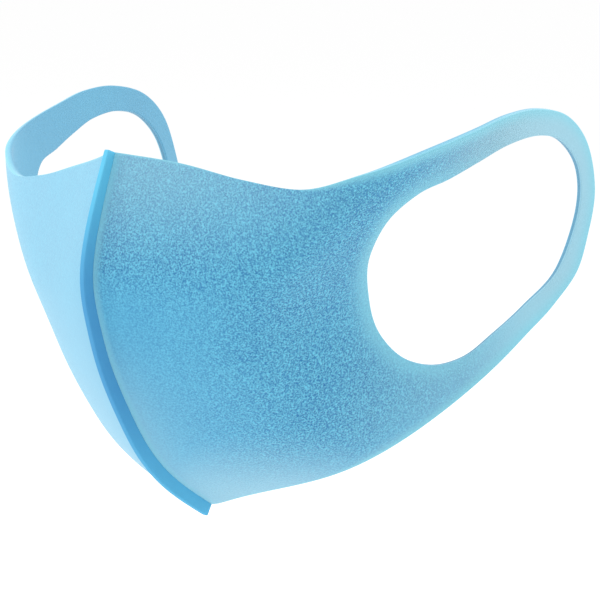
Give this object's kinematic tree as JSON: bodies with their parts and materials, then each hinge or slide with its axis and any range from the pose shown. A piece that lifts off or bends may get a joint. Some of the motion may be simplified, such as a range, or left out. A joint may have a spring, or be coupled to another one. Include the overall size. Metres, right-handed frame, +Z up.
{
  "type": "reusable pollen filter mask",
  "caption": "Soft foam pollen mask in its worn form: mirrored blue halves with integral ear loops, joined by a raised pressed seam that runs from the nose to the chin.",
  "frame": {"origin": "the seat on the bridge of the nose, just behind and below the top end of the front seam, in the middle plane", "axes": "+X to the wearer's left, +Y back from the front of the face towards the ears, +Z up"},
  "size_m": [0.1714, 0.1269, 0.1212],
  "materials": {
    "panel_foam": "matte open-cell foam sheet, finely mottled",
    "seam_foam": "pressed foam, smooth and matte"
  },
  "bodies": {
    "root": {"left_panel": "panel_foam", "right_panel": "panel_foam", "front_seam": "seam_foam"}
  },
  "joints": []
}
